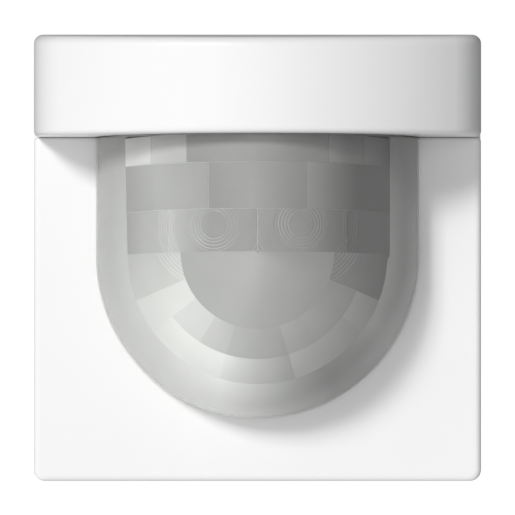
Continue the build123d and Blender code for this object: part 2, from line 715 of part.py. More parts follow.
def retaining_spring(side):
    """A leaf spring pushed into the housing's flange, bowed out towards the insert's ring."""
    bends = [
        (SPRING_X, -BOARD_BACK),
        (SPRING_X, 0.2),
        (SPRING_X - 0.7, 1.6),
        (SPRING_X + 1.2, 4.6),
        (SPRING_X - 0.4, 8.0),
    ]
    line = Polyline(*[(side * x, y) for x, y in bends])
    return extrude(Plane.XY.offset(-SPRING_WIDTH / 2) * trace(line, SPRING_WALL), SPRING_WIDTH)


def build():
    """Every node of the sensor by name."""
    nodes = {
        "front_cover": front_cover(),
        "hood": hood(),
        "lens": lens(),
        "lens_retainer": lens_retainer(),
        "retainer_screws": retainer_screws(),
        "main_board": main_board(),
        "sensor_holder": sensor_holder(),
        "holder_screws": holder_screws(),
        "status_led": status_led(),
        "light_sensor": light_sensor(),
        "light_sensor_sleeve": light_sensor_sleeve(),
        "led_leads": led_leads(),
        "trimmer_pins": trimmer_pins(),
        "mode_switch_body": mode_switch_body(),
        "mode_slider": mode_slider(),
        "mode_switch_pins": mode_switch_pins(),
        "plug_body": plug_body(),
        "plug_pins": group(plug_pin_set()),
        "storage_capacitor": storage_capacitor(),
        "capacitor_leads": capacitor_leads(),
        "microcontroller": chip(*CONTROLLER),
        "amplifier_chip": chip(*AMPLIFIER),
        "chip_pins": chip_pins(),
        "crystal": crystal(),
        "smd_resistors": smd_resistors(),
        "smd_capacitors": smd_capacitors(),
        "rear_housing": rear_housing(),
        "housing_screws": housing_screws(),
    }
    for name, x in DIAL_X.items():
        nodes[f"{name}_trimmer"] = trimmer(x)
        nodes[f"{name}_dial"] = dial(x)
    for name, side in SIDES.items():
        nodes[f"pir_can_{name}"] = pir_can(side)
        nodes[f"pir_window_{name}"] = pir_window(side)
        nodes[f"pir_element_{name}"] = pir_element(side)
        nodes[f"pir_base_{name}"] = pir_base(side)
        nodes[f"pir_leads_{name}"] = pir_leads(side)
        nodes[f"retaining_spring_{name}"] = retaining_spring(side)
    return nodes


os.makedirs("parts", exist_ok=True)
for node, shape in build().items():
    export_step(shape, f"parts/{node}.step")
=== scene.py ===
import math

import bmesh
import bpy
from mathutils import Matrix, Vector


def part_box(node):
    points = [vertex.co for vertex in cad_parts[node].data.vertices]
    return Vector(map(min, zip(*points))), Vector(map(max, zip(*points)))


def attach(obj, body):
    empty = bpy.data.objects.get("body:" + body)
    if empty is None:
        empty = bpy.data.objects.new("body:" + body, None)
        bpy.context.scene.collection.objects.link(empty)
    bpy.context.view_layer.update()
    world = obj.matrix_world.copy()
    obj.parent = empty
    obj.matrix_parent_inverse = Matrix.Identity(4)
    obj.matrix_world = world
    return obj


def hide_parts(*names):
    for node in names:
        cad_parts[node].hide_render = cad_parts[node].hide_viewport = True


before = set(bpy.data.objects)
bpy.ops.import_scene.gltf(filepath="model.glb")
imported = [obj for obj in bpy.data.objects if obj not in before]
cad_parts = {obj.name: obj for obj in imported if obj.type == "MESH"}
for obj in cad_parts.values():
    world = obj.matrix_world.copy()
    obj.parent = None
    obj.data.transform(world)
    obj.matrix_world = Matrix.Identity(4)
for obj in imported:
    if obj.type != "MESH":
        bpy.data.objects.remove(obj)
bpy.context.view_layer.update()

# The looks of a wall-mounted infrared motion sensor: a milky lens with its moulded Fresnel
# facets, satin white covers, and a circuit behind them. Metres; front looks along -Y.

MM = 0.001

# ---- places, all from the frame ----
LENS_LOW, LENS_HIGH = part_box("lens")
PLATE_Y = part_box("front_cover")[0].y
LENS_R = PLATE_Y - LENS_LOW.y
LENS_TOP = LENS_HIGH.z
LENS_BACK = LENS_HIGH.y
LENS_CENTRE = Vector((0.0, PLATE_Y, 0.0))

# ---- the lens's own proportions ----
SKIN = 0.06 * MM  # thickness of the smooth outer skin
SKIN_CLEAR = 0.01 * MM  # air between the skin and the margin; there is twice as much at the top
FACET_R = LENS_R - 1.6 * MM  # the faceted inner side
FACET_DEEP = 0.3 * MM  # thickness of a facet
SEAM = 0.07 * MM  # gap between the upper facets
FINE_SEAM = 0.006 * MM  # and between those of the round part
TILT = math.radians(2.5)  # the facet pattern leans back this much
WALL_EDGE = 62  # degrees: the upper facets end this far to each side of the front
SIDE_EDGE = 61  # degrees: where the round facets end at the sides, from the pattern's axis
ROUND_EDGE = 59  # degrees: and where they end below
MIDDLE_POLAR = 6  # degrees: nearer the axis than this, the seams stop widening
POLE = 0.5  # degrees: the round part stays open this close to its axis, so that no face is a sliver
WEB_SINK = 0.06 * MM  # the web lies this far behind the facets' outer side
WEB_DEEP = 0.4 * MM  # thickness of the web
WEB_TOP = 13.45 * MM
WEB_LOW = -0.1 * MM

# ---- the Fresnel grooves ----
GROOVE_PITCH = 0.39 * MM
GROOVE_DEPTH = 0.05 * MM
GROOVE_SHALLOW = 0.15  # share of the depth outside the deep rings
GROOVE_RINGS = [(1.6, 3.2), (5.2, 7.6)]  # millimetres from the centre where the grooves are deep
GROOVE_PAINTED_GLINT = 0.14  # painted glint: how much lighter a groove is at its bottom
RING_OUT = 5.2  # millimetres from the middle to the ring centres
RING_HEIGHT = 3.2 * MM  # of the ring centres, on the leaning pattern

# ---- mesh steps ----
FINE = 0.10 * MM  # where there are grooves
COARSE = 0.6 * MM  # where there are none
SHELL_COLUMNS = 72  # round the skin's half circle
SHELL_UPRIGHT = 14  # rows down its upright part
SHELL_BOWL = 36  # rows down its round part
SHELL_TIP = 0.01 * MM  # half width of the lowest row, so that no face has zero area
MARGIN_STEPS = 10  # from the facets out to the plate
MARGIN_TURN = 3  # degrees between two sections of the margin
WEB_STEPS = 60  # across the web
WEB_ROWS = 30  # down its round part
SHARP = 40  # degrees: shading breaks at edges sharper than this

# ---- the lens's tones, with painted light and shade ----
# How much of the light the skin stops, by its slant: 0 is looked at square on, 1 along the surface.
SKIN_COVERS = [(0.0, 0.05), (0.7, 0.25), (0.82, 1.0)]
SKIN_SHARE = 0.6  # the skin's tone, painted light and shade included, is this share of the margin's
SKIN_BASE = 0.06  # plus this
WEB_TONE = 0.62  # the web's tone in the middle
WEB_PAINTED_SHADE = 0.36  # painted shade: how much darker it is at the right-hand edge
WEB_PAINTED_GLOW = 0.3  # painted light: how much lighter it is at the bottom
WEB_BRIGHTEST = 0.95  # and no lighter than this
HOOD_PAINTED_SHADOW = 0.25  # painted shadow of the hood: how much the plain parts dim up towards it

# The plain margin's painted light and shade by the turn round the lens, from its right side down and
# up to the left: painted light makes it glow at the bottom, a little left of the middle, and painted
# shade dims it to the right.
MARGIN_PAINTED_LIGHT = [
    (0, 0.54),
    (30, 0.57),
    (45, 0.44),
    (60, 0.39),
    (75, 0.56),
    (105, 1.00),
    (135, 0.78),
    (165, 0.71),
    (180, 0.68),
]

# Rows of the upper facets, from the top down: (lower height, upper height, grooved or not,
# [(left angle, right angle, left tone, middle tone, right tone), ...]). Millimetres and degrees.
# The tones hold painted light and shade: lighter on the left, darker on the right and under the hood, and
# they change from facet to facet.
WALL_ROWS = [
    (10.5, 13.9, False, [
        (-WALL_EDGE, -44, 0.95, 0.81, 0.79),
        (-44, -27.5, 0.67, 0.59, 0.54),
        (-27.5, 27.5, 0.34, 0.35, 0.29),
        (27.5, 44, 0.34, 0.25, 0.26),
        (44, WALL_EDGE, 0.29, 0.27, 0.19),
    ]),
    (5.0, 10.5, False, [
        (-WALL_EDGE, -18.5, 0.41, 0.51, 0.39),
        (-18.5, 18.5, 0.32, 0.37, 0.32),
        (18.5, WALL_EDGE, 0.37, 0.16, 0.25),
    ]),
    (-0.1, 5.0, True, [
        (-WALL_EDGE, -35.5, 0.40, 0.53, 0.55),
        (-35.5, 0, 0.58, 0.34, 0.33),
        (0, 35.5, 0.35, 0.34, 0.20),
        (35.5, WALL_EDGE, 0.16, 0.23, 0.28),
    ]),
]

# Facets of the round part: (from, to in degrees off the pattern's axis, from, to by the turn below
# the horizontal, right-hand side to left, then the tones spread evenly over that turn). Those that
# reach the side edge are grooved.
# The tones hold painted light and shade: lightest low on the left, darker to the right, and they change from
# facet to facet.
ROUND_FACETS = [
    (POLE, 30, 0, 180, 0.38, 0.44, 0.47, 0.48, 0.49, 0.47, 0.45),
    (30, SIDE_EDGE, 0, 21, 0.28, 0.31),
    (30, 44, 21, 37, 0.40, 0.45),
    (30, 44, 37, 57, 0.45, 0.53),
    (30, 44, 57, 73, 0.51, 0.56),
    (30, 44, 73, 107, 0.50, 0.53),
    (30, 44, 107, 123, 0.57, 0.69),
    (30, 44, 123, 143, 0.76, 0.82),
    (44, ROUND_EDGE, 21, 37, 0.50, 0.57),
    (44, ROUND_EDGE, 37, 58, 0.52, 0.62),
    (44, ROUND_EDGE, 58, 73, 0.61, 0.67),
    (44, ROUND_EDGE, 73, 107, 0.54, 0.72, 0.95),
    (44, ROUND_EDGE, 107, 122, 1.0, 1.0),
    (44, ROUND_EDGE, 122, 143, 1.0, 1.0, 0.95),
    (30, ROUND_EDGE, 143, 159, 0.91, 0.87),
    (30, SIDE_EDGE, 159, 180, 0.72, 0.62),
]

# ---- noise ----
NOISE_LOW = 0.3  # most of a noise texture's values lie between these two
NOISE_HIGH = 0.7
MOTTLE_SCALE = 90.0  # of the colour of moulded plastic; all scales are per metre
GLOSS_SCALE = 260.0  # of its gloss
FINE_GLOSS_SCALE = 900.0  # of the gloss of the lens and of glass
CLOUD_SCALE = 240.0  # of the faint clouds in the lens's plastic
DRAWN_SCALE = 2500.0  # of the drawn lines in metal

# ---- stage ----
CAMERA_DISTANCE = 0.418  # in front of the plate
FRAME_WIDTH = 0.06325  # what the image spans at the plate
SENSOR_WIDTH = 36.0
FLOOR_Z = -2.7
FLOOR_HALF = 0.9  # half the floor's width
SHOWN = 1.05  # how bright the surround looks
FILL = 0.30  # how brightly it lights the object
FILL_LEAN = (-0.03, -0.15, -0.16)  # how that changes with direction
# Softboxes: (name, direction from the lens, distance and size in metres, power in watts).
SOFTBOXES = [
    ("key_light", (-0.47, -1.0, 0.50), 3.0, 0.6, 55.0),
    ("front_light", (0.0, -1.0, 0.0), 3.0, 1.2, 12.0),
    ("low_light", (-0.5, -0.15, -0.85), 2.5, 1.75, 18.0),
]


# ---- node helpers ----
def new_material(name):
    """A material with an empty tree, its shader and its object coordinates."""
    material = bpy.data.materials.new(name)
    material.use_nodes = True
    tree = material.node_tree
    shader = tree.nodes["Principled BSDF"]
    coordinates = tree.nodes.new("ShaderNodeTexCoord")
    return material, tree, shader, coordinates.outputs["Object"]


def noise(tree, position, scale, detail=3.0):
    """A noise texture's value output."""
    node = tree.nodes.new("ShaderNodeTexNoise")
    node.inputs["Scale"].default_value = scale
    node.inputs["Detail"].default_value = detail
    tree.links.new(position, node.inputs["Vector"])
    return node.outputs["Fac"]


def ramp(tree, value, stops):
    """A colour ramp from [(place, colour), ...]."""
    node = tree.nodes.new("ShaderNodeValToRGB")
    elements = node.color_ramp.elements
    while len(elements) < len(stops):
        elements.new(0.5)
    for element, (place, colour) in zip(elements, stops):
        element.position = place
        element.color = (*colour, 1.0)
    tree.links.new(value, node.inputs["Fac"])
    return node.outputs["Color"]


def mottled(tree, value, dark, light):
    """A noise value as a colour between dark and light."""
    return ramp(tree, value, [(NOISE_LOW, dark), (NOISE_HIGH, light)])


def spread(tree, value, low, high):
    """A noise value stretched to run from low to high."""
    node = tree.nodes.new("ShaderNodeMapRange")
    node.inputs["From Min"].default_value = NOISE_LOW
    node.inputs["From Max"].default_value = NOISE_HIGH
    node.inputs["To Min"].default_value = low
    node.inputs["To Max"].default_value = high
    tree.links.new(value, node.inputs["Value"])
    return node.outputs["Result"]


def uneven_gloss(tree, shader, position, scale, low, high):
    """A roughness that wanders from low to high."""
    tree.links.new(spread(tree, noise(tree, position, scale), low, high), shader.inputs["Roughness"])


def bump(tree, shader, height, depth, strength=1.0):
    """Bump of a real depth in metres on the shader."""
    node = tree.nodes.new("ShaderNodeBump")
    node.inputs["Strength"].default_value = strength
    node.inputs["Distance"].default_value = depth
    tree.links.new(height, node.inputs["Height"])
    tree.links.new(node.outputs["Normal"], shader.inputs["Normal"])


def shades(colour, amount):
    """The colour a little darker and a little lighter."""
    return [tuple(min(1.0, c * (1.0 + k * amount)) for c in colour) for k in (-1.0, 1.0)]


def moulded(name, colour, roughness, mottle=0.02, grain=1800.0, depth=0.004 * MM, specular=0.5):
    """Moulded plastic: faint colour mottle, a fine spark-eroded grain and uneven gloss."""
    material, tree, shader, position = new_material(name)
    patches = mottled(tree, noise(tree, position, MOTTLE_SCALE, 4.0), *shades(colour, mottle))
    tree.links.new(patches, shader.inputs["Base Color"])
    uneven_gloss(tree, shader, position, GLOSS_SCALE, roughness - 0.04, roughness + 0.04)
    shader.inputs["Specular IOR Level"].default_value = specular
    bump(tree, shader, noise(tree, position, grain, 2.0), depth)
    return material


def metal(name, colour, roughness, along=(1.0, 1.0, 1.0)):
    """Plated or rolled metal with fine drawn lines along the axis that is stretched least."""
    material, tree, shader, position = new_material(name)
    mapping = tree.nodes.new("ShaderNodeMapping")
    mapping.inputs["Scale"].default_value = along
    tree.links.new(position, mapping.inputs["Vector"])
    lines = noise(tree, mapping.outputs["Vector"], DRAWN_SCALE)
    tree.links.new(mottled(tree, lines, *shades(colour, 0.12)), shader.inputs["Base Color"])
    tree.links.new(spread(tree, lines, roughness - 0.06, roughness + 0.08), shader.inputs["Roughness"])
    shader.inputs["Metallic"].default_value = 1.0
    bump(tree, shader, lines, 0.003 * MM)
    return material


# ---- materials ----
def cover_plastic():
    """The satin white of cover and hood."""
    white = (0.83, 0.83, 0.825)
    return moulded("cover_plastic", white, 0.42, mottle=0.006, grain=2600.0, depth=0.002 * MM, specular=0.35)


def black_plastic():
    """Matte black inner mouldings."""
    return moulded("black_plastic", (0.025, 0.025, 0.026), 0.55, mottle=0.15)


def housing_plastic():
    """The grey rear housing, with a coarser grain."""
    return moulded("housing_plastic", (0.085, 0.087, 0.09), 0.5, mottle=0.08, grain=1400.0, depth=0.012 * MM)


def dial_plastic():
    """Ivory dials and slider."""
    return moulded("dial_plastic", (0.72, 0.70, 0.64), 0.42, mottle=0.03)


def trimmer_plastic():
    """Blue trimmer bodies."""
    return moulded("trimmer_plastic", (0.03, 0.11, 0.36), 0.35, mottle=0.08)


def chip_plastic():
    """Black moulding compound with fine filler specks."""
    return moulded("chip_plastic", (0.03, 0.03, 0.032), 0.6, mottle=0.3, grain=5000.0, depth=0.006 * MM)


def ceramic():
    """White ceramic."""
    return moulded("ceramic", (0.80, 0.79, 0.74), 0.5, mottle=0.04, grain=4000.0)


def smd_ceramic():
    """Tan capacitor ceramic."""
    return moulded("smd_ceramic", (0.42, 0.29, 0.16), 0.5, mottle=0.15, grain=4000.0)


def capacitor_film():
    """Dark shrink film, a little glossy."""
    return moulded("capacitor_film", (0.02, 0.03, 0.05), 0.28, mottle=0.2, grain=900.0, depth=0.01 * MM)


def board_mask():
    """Solder mask over copper tracks: a green with lighter veins where the copper runs."""
    material, tree, shader, position = new_material("board")
    brick = tree.nodes.new("ShaderNodeTexBrick")
    brick.inputs["Scale"].default_value = 260.0
    brick.inputs["Mortar Size"].default_value = 0.06
    brick.inputs["Color1"].default_value = (0.012, 0.10, 0.045, 1.0)
    brick.inputs["Color2"].default_value = (0.016, 0.12, 0.055, 1.0)
    brick.inputs["Mortar"].default_value = (0.03, 0.20, 0.09, 1.0)
    turn = tree.nodes.new("ShaderNodeMapping")
    turn.inputs["Rotation"].default_value = (math.radians(90), 0.0, 0.0)
    tree.links.new(position, turn.inputs["Vector"])
    tree.links.new(turn.outputs["Vector"], brick.inputs["Vector"])
    tree.links.new(brick.outputs["Color"], shader.inputs["Base Color"])
    uneven_gloss(tree, shader, position, 400.0, 0.25, 0.4)
    bump(tree, shader, brick.outputs["Fac"], 0.02 * MM, 0.6)
    return material


def epoxy(name, colour, alpha):
    """Cast epoxy of a lamp or light sensor."""
    material, tree, shader, position = new_material(name)
    patches = mottled(tree, noise(tree, position, 700.0), *shades(colour, 0.1))
    tree.links.new(patches, shader.inputs["Base Color"])
    uneven_gloss(tree, shader, position, 300.0, 0.05, 0.15)
    shader.inputs["Alpha"].default_value = alpha
    shader.inputs["Coat Weight"].default_value = 0.5
    return material


def filter_glass():
    """The coated silicon window: nearly black with a soft purple cast."""
    material, tree, shader, position = new_material("filter")
    stops = [(0.35, (0.020, 0.015, 0.030)), (0.65, (0.05, 0.035, 0.06))]
    tree.links.new(ramp(tree, noise(tree, position, 500.0), stops), shader.inputs["Base Color"])
    uneven_gloss(tree, shader, position, FINE_GLOSS_SCALE, 0.08, 0.16)
    shader.inputs["IOR"].default_value = 2.4
    return material


def toned(name, roughness, dark, light):
    """Milky lens plastic: its tone, with painted light and shade, comes from the mesh, dimmed by faint
    clouds from dark to light.
    """
    material, tree, shader, position = new_material(name)
    # the vertex tone carries the lens's painted light and shade
    tone_and_painted_light = tree.nodes.new("ShaderNodeAttribute")
    tone_and_painted_light.attribute_name = "tone_and_painted_light"
    cloud = mottled(tree, noise(tree, position, CLOUD_SCALE), dark, light)
    mix = tree.nodes.new("ShaderNodeMix")
    mix.data_type = "RGBA"
    mix.blend_type = "MULTIPLY"
    mix.inputs["Factor"].default_value = 1.0
    tree.links.new(tone_and_painted_light.outputs["Color"], mix.inputs["A"])
    tree.links.new(cloud, mix.inputs["B"])
    tree.links.new(mix.outputs["Result"], shader.inputs["Base Color"])
    uneven_gloss(tree, shader, position, FINE_GLOSS_SCALE, roughness - 0.05, roughness + 0.05)
    return material, tree, shader, position


def lens_skin_plastic():
    """The smooth outer skin: thin milky polyethylene, clearest where it is looked at square on."""
    material, tree, shader, position = toned("lens_skin_plastic", 0.34, (0.97, 0.97, 0.97), (1.0, 1.0, 1.0))
    slant = tree.nodes.new("ShaderNodeLayerWeight")
    slant.inputs["Blend"].default_value = 0.35
    cover = ramp(tree, slant.outputs["Facing"], [(place, (share,) * 3) for place, share in SKIN_COVERS])
    tree.links.new(cover, shader.inputs["Alpha"])
    shader.inputs["Sheen Weight"].default_value = 0.15
    shader.inputs["Sheen Roughness"].default_value = 0.4
    bump(tree, shader, noise(tree, position, 3000.0), 0.002 * MM)
    return material


def facet_plastic():
    """The faceted inner side: its tone, painted light and shade included, changes from facet to facet."""
    return toned("facet_plastic", 0.4, (0.95, 0.95, 0.94), (1.0, 1.0, 1.0))[0]


def web_plastic():
    """The bright web that shows as thin lines between the facets."""
    return toned("web_plastic", 0.4, (0.97, 0.97, 0.96), (1.0, 1.0, 1.0))[0]


# ---- the lens in mesh code ----
def leaned(point):
    """A point of the facet pattern, which leans back a little, in place on the lens."""
    return LENS_CENTRE + Matrix.Rotation(-TILT, 3, "X") @ point


def round_point(polar, turn, radius):
    """A point on the lens's sphere: polar from the pattern's axis, turn below the horizontal."""
    x = math.sin(polar) * math.cos(turn)
    z = -math.sin(polar) * math.sin(turn)
    return leaned(Vector((x, -math.cos(polar), z)) * radius)


def wall_point(angle, height, radius):
    """A point on the lens's upright half cylinder. Height is measured on the leaning pattern."""
    forward = math.cos(angle) * radius
    lift = math.tan(TILT) * forward
    return LENS_CENTRE + Vector((math.sin(angle) * radius, -forward, height + lift))


def tint(tone_and_painted_light):
    """A tone as the colour of the milky plastic: a trace green where dark, warm where light."""
    return (tone_and_painted_light, tone_and_painted_light * 1.012, tone_and_painted_light * 0.985, 1.0)


def painted_plain_light(point):
    """Painted light on the lens's plain parts, by their turn, and the hood's painted shadow near the top."""
    turn = math.degrees(math.atan2(max(0.0, -point.z), point.x))
    up = min(1.0, max(0.0, 2.0 * point.z / LENS_TOP - 1.0))
    for (start, low), (end, high) in zip(MARGIN_PAINTED_LIGHT, MARGIN_PAINTED_LIGHT[1:]):
        if turn <= end:
            break
    return (low + (high - low) * (turn - start) / (end - start)) * (1.0 - HOOD_PAINTED_SHADOW * up)


def close_sheet(bm, layer, front, back, tone_of):
    """A closed body between two grids of vertices that match row by row, toned vertex by vertex."""

    def fill(corners, flip):
        face = bm.faces.new(reversed(corners) if flip else corners)
        face.smooth = True
        for loop in face.loops:
            loop[layer] = tint(tone_of(loop.vert))

    for grid, flip in ((front, False), (back, True)):
        for upper, lower in zip(grid, grid[1:]):
            for i in range(len(upper) - 1):
                fill((upper[i], upper[i + 1], lower[i + 1], lower[i]), flip)
    for j, flip in ((0, True), (-1, False)):
        for i in range(len(front[0]) - 1):
            fill((front[j][i], front[j][i + 1], back[j][i + 1], back[j][i]), flip)
    for i, flip in ((0, False), (-1, True)):
        for j in range(len(front) - 1):
            fill((front[j][i], front[j + 1][i], back[j + 1][i], back[j][i]), flip)


def sharpen(piece):
    """Smooth shading that breaks at sharp edges."""
    piece.data.set_sharp_from_angle(angle=math.radians(SHARP))


def groove(across, along, centre):
    """Depth of the Fresnel grooves at a place on a facet: deep in two rings round their centre."""
    r = math.hypot(across - centre[0], along - centre[1])
    deep = any(inner * MM < r < outer * MM for inner, outer in GROOVE_RINGS)
    share = 1.0 if deep else GROOVE_SHALLOW
    return GROOVE_DEPTH * share * (0.5 + 0.5 * math.sin(math.tau * r / GROOVE_PITCH))


def add_facet(bm, layer, point, u_range, v_range, step_u, step_v, tone_and_painted_light_at, relief):
    """One facet: a closed plate whose outer side carries its grooves."""
    count_u = max(2, math.ceil((u_range[1] - u_range[0]) / step_u))
    count_v = max(2, math.ceil(abs(v_range[1] - v_range[0]) / step_v))
    front, back, tones = [], [], {}
    for j in range(count_v + 1):
        v = v_range[0] + (v_range[1] - v_range[0]) * j / count_v
        front.append([])
        back.append([])
        for i in range(count_u + 1):
            u = u_range[0] + (u_range[1] - u_range[0]) * i / count_u
            depth = relief(u, v)
            outer = bm.verts.new(point(u, v, FACET_R - depth))
            inner = bm.verts.new(point(u, v, FACET_R - FACET_DEEP))
            # the grooves get a painted glint, lighter at their bottom
            tones[outer] = tones[inner] = tone_and_painted_light_at(u, v) * (1.0 + GROOVE_PAINTED_GLINT * depth / GROOVE_DEPTH)
            front[-1].append(outer)
            back[-1].append(inner)
    close_sheet(bm, layer, front, back, tones.get)


def finish_mesh(bm, name, material):
    """A mesh object with one material from a bmesh."""
    bmesh.ops.recalc_face_normals(bm, faces=bm.faces)
    mesh = bpy.data.meshes.new(name)
    bm.to_mesh(mesh)
    bm.free()
    mesh.materials.append(material)
    piece = bpy.data.objects.new(name, mesh)
    bpy.context.scene.collection.objects.link(piece)
    return piece


def between(value, ends, tones):
    """The tone at a value: the tones are spaced evenly from one end of a facet to the other."""
    place = (value - ends[0]) / (ends[1] - ends[0]) * (len(tones) - 1)
    step = min(int(place), len(tones) - 2)
    return tones[step] + (tones[step + 1] - tones[step]) * (place - step)


def wall_facets(bm, layer):
    """The three rows of facets round the upright part."""
    for low, high, grooved, facets in WALL_ROWS:
        for left, right, *tones in facets:
            ends = (math.radians(left), math.radians(right))
            centre = (math.copysign(1.0, left + right) * RING_OUT * MM, RING_HEIGHT)

            def relief(u, v, grooved=grooved, centre=centre):
                return groove(u * FACET_R, v, centre) if grooved else 0.0

            def tone_and_painted_light_at(u, v, ends=ends, tones=tones):
                return between(u, ends, tones)

            step = FINE if grooved else COARSE
            u_range = (ends[0] + SEAM / 2 / FACET_R, ends[1] - SEAM / 2 / FACET_R)
            v_range = (high * MM - SEAM / 2, low * MM + SEAM / 2)
            add_facet(bm, layer, wall_point, u_range, v_range, step / FACET_R, step, tone_and_painted_light_at, relief)


def round_facets(bm, layer):
    """The rings of facets of the round part."""
    for inner, outer, start, end, *tones in ROUND_FACETS:
        ends = (math.radians(start), math.radians(end))
        grooved = outer == SIDE_EDGE

        def relief(u, v, grooved=grooved):
            if not grooved:
                return 0.0
            across = math.sin(u) * math.cos(v) * FACET_R
            along = -math.sin(u) * math.sin(v) * FACET_R
            return groove(across, along, (math.copysign(RING_OUT * MM, across), RING_HEIGHT))

        def tone_and_painted_light_at(u, v, ends=ends, tones=tones):
            return between(v, ends, tones)

        step = FINE if grooved else COARSE
        narrowest = math.sin(math.radians(max(inner, MIDDLE_POLAR)))
        widest = math.sin(math.radians(outer)) * FACET_R
        seam_turn = FINE_SEAM / 2 / FACET_R / narrowest
        seam_polar = FINE_SEAM / 2 / FACET_R
        u_range = (math.radians(inner) + seam_polar, math.radians(outer) - seam_polar)
        v_range = (ends[0] + seam_turn, ends[1] - seam_turn)
        add_facet(bm, layer, round_point, u_range, v_range, step / FACET_R, step / widest, tone_and_painted_light_at, relief)


def lens_facets(material):
    """Every Fresnel facet of the lens's inner side."""
    bm = bmesh.new()
    layer = bm.loops.layers.float_color.new("tone_and_painted_light")
    wall_facets(bm, layer)
    round_facets(bm, layer)
    piece = finish_mesh(bm, "lens_facets", material)
    sharpen(piece)
    return piece


def shell_grid(bm, radius, top, back):
    """Rows of points over the lens: half a cylinder, then a quarter sphere, with its skirt."""
    rows = []
    for j in range(SHELL_UPRIGHT + SHELL_BOWL + 1):
        if j <= SHELL_UPRIGHT:
            height = top * (1.0 - j / SHELL_UPRIGHT)
            reach = radius
        else:
            latitude = math.radians(90) * (j - SHELL_UPRIGHT) / SHELL_BOWL
            height = -radius * math.sin(latitude)
            reach = max(radius * math.cos(latitude), SHELL_TIP)
        row = [bm.verts.new((-reach, back, height))]
        for i in range(SHELL_COLUMNS + 1):
            angle = math.radians(-90 + 180 * i / SHELL_COLUMNS)
            row.append(bm.verts.new((reach * math.sin(angle), PLATE_Y - reach * math.cos(angle), height)))
        row.append(bm.verts.new((reach, back, height)))
        rows.append(row)
    return rows


def lens_skin():
    """The smooth skin of the lens, closed by its top wall, its inner side and its rear edge."""
    bm = bmesh.new()
    layer = bm.loops.layers.float_color.new("tone_and_painted_light")
    outer = shell_grid(bm, LENS_R, LENS_TOP, LENS_BACK)
    inner = shell_grid(bm, LENS_R - SKIN, LENS_TOP - SKIN, LENS_BACK)
    for grid in (outer, inner):
        for upper, lower in zip(grid, grid[1:]):
            for i in range(len(upper) - 1):
                bm.faces.new((upper[i], upper[i + 1], lower[i + 1], lower[i])).smooth = True
        bm.faces.new(grid[0])
    for side in (0, -1):
        for (a, b), (c, d) in zip(zip(outer, outer[1:]), zip(inner, inner[1:])):
            bm.faces.new((a[side], b[side], d[side], c[side]))
    for face in bm.faces:
        for loop in face.loops:
            # the skin takes a share of the margin's painted light and shade
            loop[layer] = tint(SKIN_SHARE * painted_plain_light(loop.vert.co) + SKIN_BASE)
    piece = finish_mesh(bm, "lens_skin", lens_skin_plastic())
    sharpen(piece)
    return piece


def margin_section(turn, radius):
    """Points of the margin from the facets out to the plate, then back along the skirt."""
    edge = SIDE_EDGE if turn in (0, 180) else ROUND_EDGE
    inside = round_point(math.radians(edge), math.radians(turn), 1.0)
    inside = (inside - LENS_CENTRE).normalized()
    rim = Vector((math.cos(math.radians(turn)), 0.0, -math.sin(math.radians(turn))))
    points = []
    for k in range(MARGIN_STEPS + 1):
        share = k / MARGIN_STEPS
        reach = FACET_R + (radius - FACET_R) * share * (2.0 - share) if radius > FACET_R else radius
        points.append(LENS_CENTRE + inside.slerp(rim, share) * reach)
    points.append(Vector((points[-1].x, LENS_BACK, points[-1].z)))
    return points


def lens_margin(material):
    """The plain border of the lens: thin beside the facets, full thickness at the plate."""
    bm = bmesh.new()
    layer = bm.loops.layers.float_color.new("tone_and_painted_light")
    roof = LENS_TOP - SKIN - 2 * SKIN_CLEAR
    grids = []
    for radius in (LENS_R - SKIN - SKIN_CLEAR, FACET_R - FACET_DEEP):
        turns = range(0, 181, MARGIN_TURN)
        rows = [[bm.verts.new(p) for p in margin_section(turn, radius)] for turn in turns]
        for turn, place in ((0, 0), (180, len(rows))):
            tall = [bm.verts.new((p.x, p.y, roof)) for p in margin_section(turn, radius)]
            rows.insert(place, tall)
        grids.append(rows)
    # the margin's tone is painted light and shade, with the hood's painted shadow
    close_sheet(bm, layer, grids[0], grids[1], lambda vert: painted_plain_light(vert.co))
    piece = finish_mesh(bm, "lens_margin", material)
    sharpen(piece)
    return piece


def web_painted_light(vert):
    """Painted light and shade on the web: darker to the right, lighter towards the bottom."""
    right = vert.co.x / LENS_R
    down = max(0.0, -vert.co.z / LENS_R)
    return min(WEB_BRIGHTEST, WEB_TONE - WEB_PAINTED_SHADE * right + WEB_PAINTED_GLOW * down)


def lens_web():
    """The web behind the facets, seen as the fine bright lines between them."""
    bm = bmesh.new()
    layer = bm.loops.layers.float_color.new("tone_and_painted_light")
    radius = FACET_R - WEB_SINK
    width = 2 * WALL_EDGE
    reach = ROUND_EDGE - POLE
    angles = [math.radians(-WALL_EDGE + width * i / WEB_STEPS) for i in range(WEB_STEPS + 1)]
    turns = [math.radians(180 * i / WEB_STEPS) for i in range(WEB_STEPS + 1)]
    polars = [math.radians(POLE + reach * j / WEB_ROWS) for j in range(WEB_ROWS + 1)]
    wall, bowl = [], []
    for deep in (0.0, WEB_DEEP):
        heights = (WEB_TOP, WEB_LOW)
        wall.append([[bm.verts.new(wall_point(a, h, radius - deep)) for a in angles] for h in heights])
        bowl.append([[bm.verts.new(round_point(p, t, radius - deep)) for t in turns] for p in polars])
    close_sheet(bm, layer, wall[0], wall[1], web_painted_light)
    close_sheet(bm, layer, bowl[0], bowl[1], web_painted_light)
    piece = finish_mesh(bm, "lens_web", web_plastic())
    sharpen(piece)
    return piece


# ---- dressing the CAD nodes ----
def dress(material, *names):
    """Gives CAD nodes one material."""
    for name in names:
        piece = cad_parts[name]
        piece.data.materials.clear()
        piece.data.materials.append(material)


